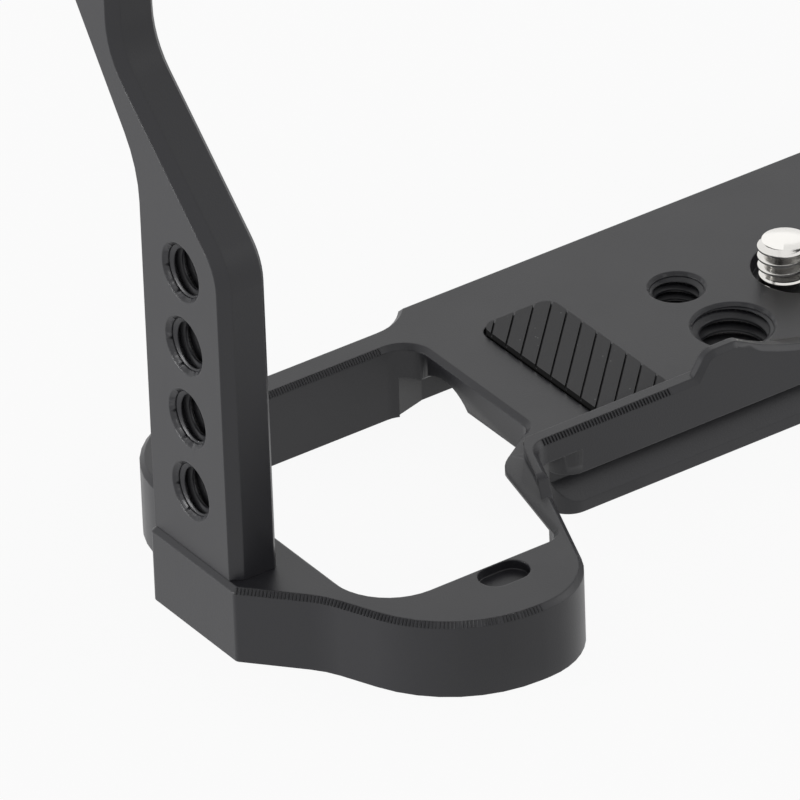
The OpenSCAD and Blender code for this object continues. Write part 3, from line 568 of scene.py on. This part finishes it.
# %% Rubber pads
PAD_CORNER = 1.7
GROOVE = (30, 0.24, 1.0)
GROOVE_ANGLE = 46.8
GROOVE_STEP = 2.95
GROOVE_COUNT = 11
GROOVE_AT = (-18.65, 0.39)  # a place that a groove's middle passes through
GROOVES_BEFORE = 7  # grooves in front of that place


def pad_blank(lo, hi, radius):
    """Block between two corners, its upright edges rounded."""
    deselect()
    size = [b - a for a, b in zip(lo, hi)]
    bpy.ops.mesh.primitive_cube_add(size=1, location=[(a + b) / 2 for a, b in zip(lo, hi)])
    obj = bpy.context.object
    obj.scale = size
    bpy.ops.object.transform_apply(location=True, rotation=True, scale=True)
    bpy.ops.object.mode_set(mode="EDIT")
    bpy.ops.mesh.select_mode(type="EDGE")
    bpy.ops.mesh.select_all(action="DESELECT")
    bpy.ops.object.mode_set(mode="OBJECT")
    for edge in obj.data.edges:
        a, b = (obj.data.vertices[v].co for v in edge.vertices)
        edge.select = abs(a.z - b.z) > 0.5 * size[2]
    bpy.ops.object.mode_set(mode="EDIT")
    bpy.ops.mesh.bevel(offset=radius, segments=7, affect="EDGES")
    bpy.ops.object.mode_set(mode="OBJECT")
    return obj


def groove_bars(top):
    """A row of thin bars through the pad's top, each at the grooves' angle."""
    deselect()
    bpy.ops.mesh.primitive_cube_add(size=1)
    bar = bpy.context.object
    bar.scale = [side * MM for side in GROOVE]
    bar.rotation_euler = (0, 0, math.radians(GROOVE_ANGLE))
    first = GROOVE_AT[1] - GROOVES_BEFORE * GROOVE_STEP
    bar.location = (GROOVE_AT[0] * MM, first * MM, top)
    bpy.ops.object.transform_apply(location=True, rotation=True, scale=True)
    return apply_modifier(
        bar, "ARRAY", count=GROOVE_COUNT, use_relative_offset=False,
        use_constant_offset=True, constant_offset_displace=(0, GROOVE_STEP * MM, 0),
    )


def ribbed_pad(node_name, mirrored):
    lo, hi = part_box("grip_pad")
    pad = cut(pad_blank(lo, hi, PAD_CORNER * MM), groove_bars(hi[2]))
    if mirrored:
        to_port = Matrix.Translation((2 * LENS_X * MM, 0, 0)) @ Matrix.Scale(-1, 4, (1, 0, 0))
        pad.data.transform(to_port)
        edit(pad, lambda: bpy.ops.mesh.normals_make_consistent(inside=False))
    return finish_piece(pad, node_name + "_ribbed", "rubber", "cage", node_name)


ribbed_pad("grip_pad", False)
ribbed_pad("port_pad", True)

# %% [markdown]
# ## Marks of the milling cutter
# Where the cutter chattered, the chamfers of the lens lip, the loop and the bar behind the grip are
# a fine washboard, one tooth mark about every 0.4 mm. A bump texture would slide off the narrow
# chamfer, so each mark is a low three-sided bar lying along the chamfer's slope. It is modelled
# once, and copies are set along the edge's path, whose corners are rounded as in the CAD model.

# %% Path with rounded corners
PATH_STEP = 0.05


def rounded_path(corners):
    """Points in millimetres along corners (x, y, radius), close enough to walk along.

    The path starts and ends in a corner, where the radius isn't used.
    """
    points = [Vector(corners[0][:2])]
    for before, (x, y, r), after in zip(corners, corners[1:], corners[2:]):
        here = Vector((x, y))
        u = (Vector(before[:2]) - here).normalized()
        v = (Vector(after[:2]) - here).normalized()
        half = u.angle(v) / 2
        middle = here + (u + v).normalized() * r / math.sin(half)
        start, end = here + u * r / math.tan(half), here + v * r / math.tan(half)
        count = max(2, int((end - start).length / PATH_STEP))
        for i in range(count + 1):
            on_chord = start + (end - start) * i / count
            points.append((on_chord - middle).normalized() * r + middle)
    points.append(Vector(corners[-1][:2]))
    return points


def walk(points, step):
    """(place, direction) every step along the points."""
    found, left = [], 0.0
    for a, b in zip(points, points[1:]):
        ahead = (b - a).length
        way = (b - a).normalized() if ahead > 0 else None
        while way and left <= ahead:
            found.append((a + way * left, way))
            left += step
        left -= ahead
    return found


# %% Chatter marks
UP = Vector((0, 0, 1))


def mark_bar(width, length, rise):
    """One tooth mark along Z, its back on the plane y = 0 and its ridge at +Y."""
    deselect()
    bpy.ops.mesh.primitive_cylinder_add(vertices=3, radius=1, depth=1)
    obj = bpy.context.object
    obj.scale = (width / math.sqrt(3) * MM, rise / 1.5 * MM, length * MM)
    bpy.ops.object.transform_apply(location=False, rotation=False, scale=True)
    obj.data.transform(Matrix.Translation((0, rise / 3 * MM, 0)))
    return obj


def chatter(name, corners, z, step=0.43, width=0.26, length=0.85, rise=0.16):
    """Marks along a chamfer, its middle at height z and its free side right of the path."""
    bar = mark_bar(width, length, rise)
    copies = []
    for place, way in walk(rounded_path(corners), step):
        right = Vector((way.y, -way.x, 0))
        out = (right + UP).normalized()
        slope = (UP - right).normalized()
        lying = Matrix((out.cross(slope), out, slope)).transposed().to_4x4()
        moved = Matrix.Translation(Vector((place.x, place.y, z)) * MM)
        copies.append(own_copy(bar))
        copies[-1].data.transform(moved @ lying)
    bpy.data.objects.remove(bar, do_unlink=True)
    deselect()
    for obj in copies:
        obj.select_set(True)
    bpy.context.view_layer.objects.active = copies[0]
    bpy.ops.object.join()
    return finish_piece(copies[0], name, "anodised_aluminium", "cage", angle=20)


LIP_CHAMFER_Z = 1.52
DECK_CHAMFER_Z = -0.3
LIP_EDGE = [(-33.3, -20.12, 0), (-15.6, -20.12, 0)]
LOOP_EDGE = [(-77.3, -22.1, 0), (-70.6, -29.6, 12), (-63.4, -45.9, 17), (-52, -45.9, 0)]
BAR_EDGE = [(-60.5, 9.95, 0), (-35, 9.95, 0)]

chatter("lip_chatter_marks", LIP_EDGE, LIP_CHAMFER_Z)
chatter("loop_chatter_marks", LOOP_EDGE, DECK_CHAMFER_Z, rise=0.03)
chatter("bar_chatter_marks", BAR_EDGE, DECK_CHAMFER_Z, step=0.36, width=0.22, rise=0.07)

# %% [markdown]
# ## Light and floor
# A pale studio. Lamps alone could light it, but black anodising shows mostly what it mirrors, and
# one lamp would be one glaring spot. So a white room gives the sheen, and three lamps only set the
# faces apart: a faint one high at the back, a small one low on the grip side, and a wide one in
# front on the cable side. The background is white where the camera, a glossy surface or glass
# looks at it, and the floor keeps the object's shadow.


# %% Light and floor
def area_lamp(name, place, aim, size, power):
    data = bpy.data.lights.new(name, "AREA")
    data.shape = "DISK"
    data.size = size
    data.energy = power
    obj = bpy.data.objects.new(name, data)
    place, aim = Vector(place), Vector(aim)
    obj.location = place
    obj.rotation_euler = (aim - place).to_track_quat("-Z", "Y").to_euler()
    bpy.context.scene.collection.objects.link(obj)
    return obj


def looked_at(tree):
    """Socket that is 1 where the camera, a glossy surface or glass looks."""
    path = node(tree, "LightPath").outputs
    larger = {"operation": "MAXIMUM"}
    seen = node(tree, "Math", larger, n0=path["Is Camera Ray"], n1=path["Is Glossy Ray"])
    seen = node(tree, "Math", larger, n0=seen.outputs[0], n1=path["Is Transmission Ray"])
    return seen.outputs[0]


def world(level):
    """White room that lights the object at a level under 1."""
    made = bpy.data.worlds.new("studio")
    made.use_nodes = True
    t = made.node_tree
    t.nodes.clear()
    strength = node(t, "MapRange", Value=looked_at(t), To_Min=level, To_Max=1.0)
    back = node(t, "Background", Color=linear("#ffffff"), Strength=strength.outputs[0])
    node(t, "OutputWorld", Surface=back.outputs[0])
    bpy.context.scene.world = made


FLOOR_SIZE = 6
FLOOR_GAP = 0.02  # millimetres below the foot


def floor(whiteness):
    """Pale floor. whiteness is the share that glows where it is looked at."""
    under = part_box("base_frame")[0][2] - FLOOR_GAP * MM
    bpy.ops.mesh.primitive_plane_add(size=FLOOR_SIZE, location=(0, 0, under))
    obj = bpy.context.object
    obj.name = "studio_floor"
    mat, t = new_material("white_floor")
    matt = node(t, "BsdfDiffuse", Color=linear("#f2f2f2"))
    glow = node(t, "Emission", Color=linear("#ffffff"), Strength=1.0)
    share = node(t, "Math", {"operation": "MULTIPLY"}, n0=looked_at(t), n1=whiteness)
    both = node(t, "MixShader", n0=share.outputs[0], n1=matt.outputs[0], n2=glow.outputs[0])
    finish_material(t, both)
    obj.data.materials.append(mat)
    return obj


world(0.4)
floor(0.93)
area_lamp("lamp_back", (0.7, 1.1, 0.75), (0, 0, 0), size=0.9, power=0.5)
area_lamp("lamp_grip_side", (-1.4, 0.6, 0.04), (-0.07, 0, 0.02), size=0.3, power=17)
area_lamp("lamp_port_side", (1.2, -0.7, 0.6), (0, 0, 0.02), size=0.8, power=3)
bpy.context.scene.view_settings.view_transform = "Standard"
